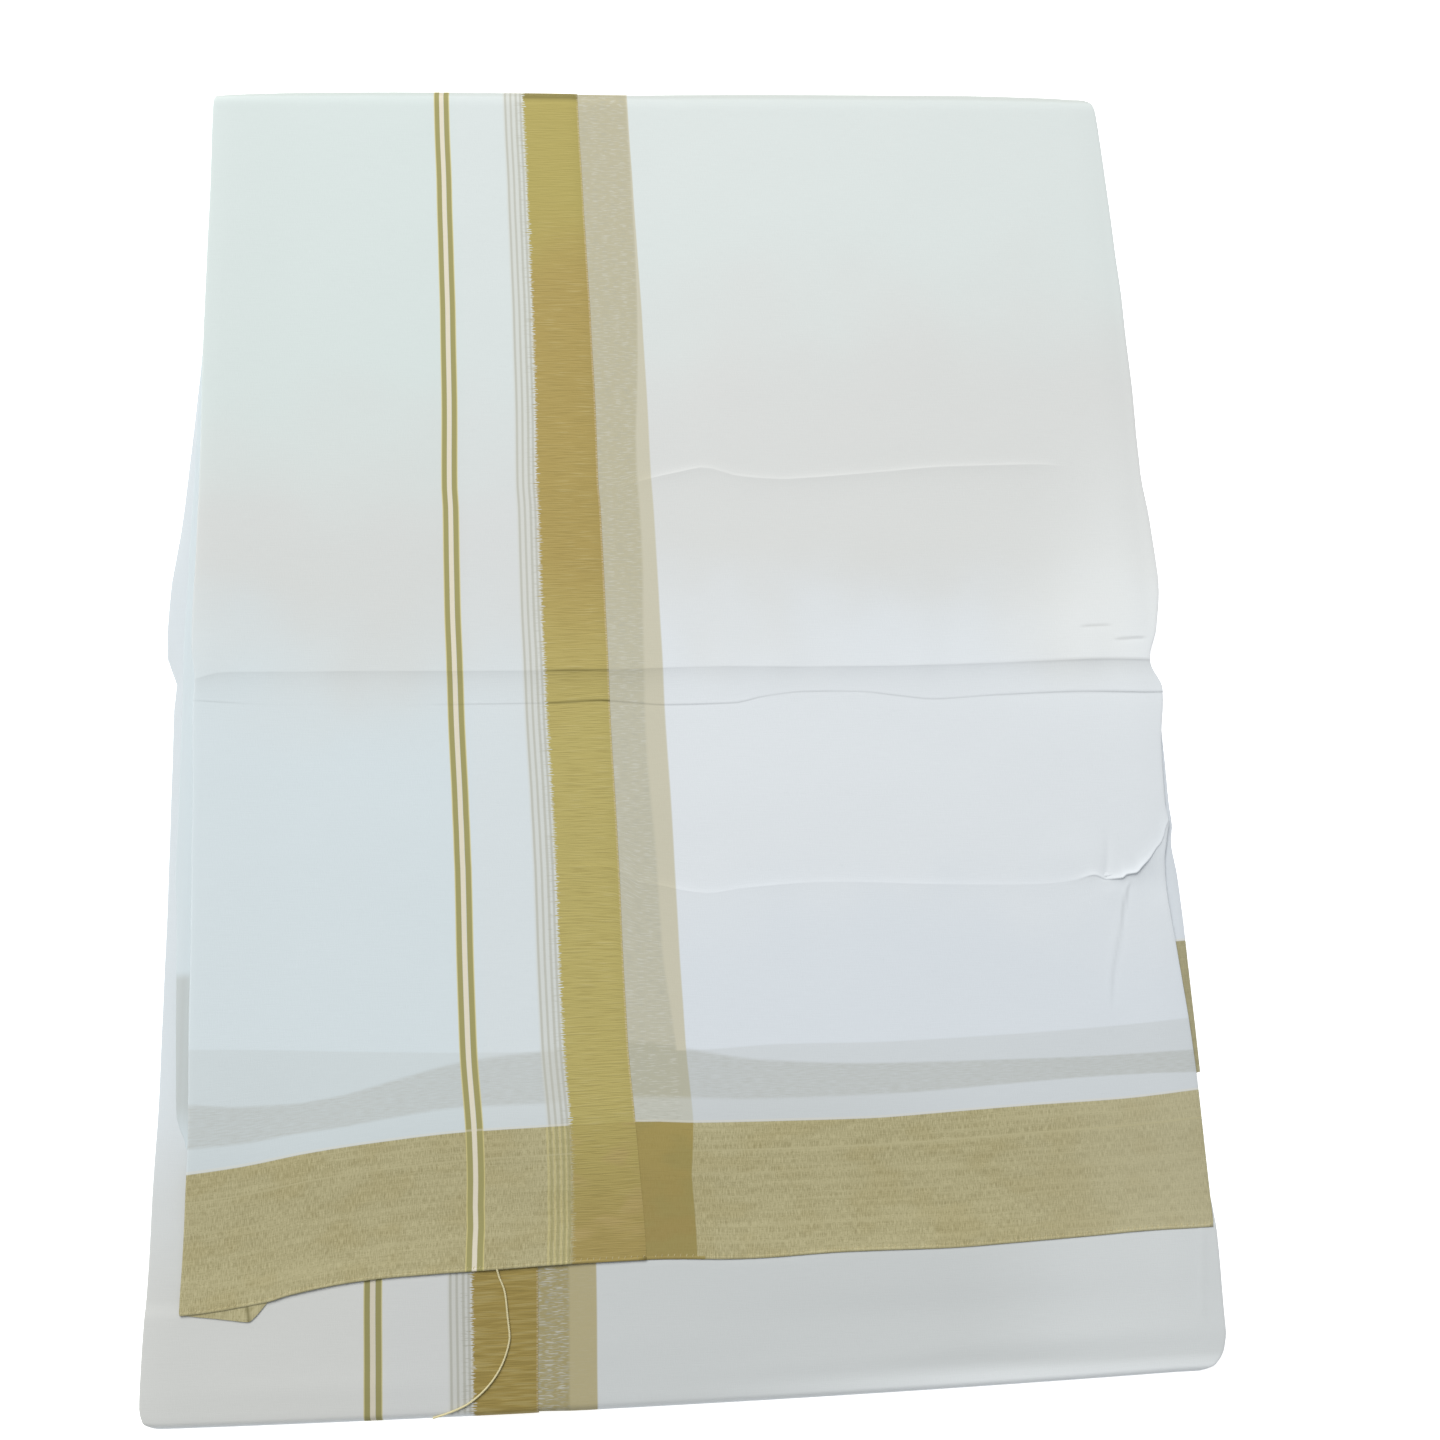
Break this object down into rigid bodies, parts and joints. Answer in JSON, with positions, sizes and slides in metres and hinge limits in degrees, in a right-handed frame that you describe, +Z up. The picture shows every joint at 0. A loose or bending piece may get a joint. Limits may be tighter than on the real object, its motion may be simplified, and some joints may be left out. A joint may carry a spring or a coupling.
{
  "type": "dhoti cloth",
  "caption": "White cotton dhoti with gold woven borders, folded into a flat oblong pack that lies on a surface.",
  "frame": {"origin": "under the middle of the pack, on the surface it lies on", "axes": "+X across the pack towards its right edge, +Y up its length towards the top fold, +Z up"},
  "size_m": [0.4572, 0.604, 0.0132],
  "materials": {
    "cotton": "matte plain weave",
    "gold_border": "soft metallic yarn",
    "yarn": "matte twisted yarn"
  },
  "bodies": {
    "root": {"front_face": "cotton", "front_flap": "cotton", "face_hem": "gold_border", "flap_hem": "gold_border", "turned_corner": "gold_border", "second_length": "cotton", "lower_face": "cotton", "lower_flap": "cotton", "hidden_core": "cotton", "loose_thread": "yarn"}
  },
  "joints": []
}
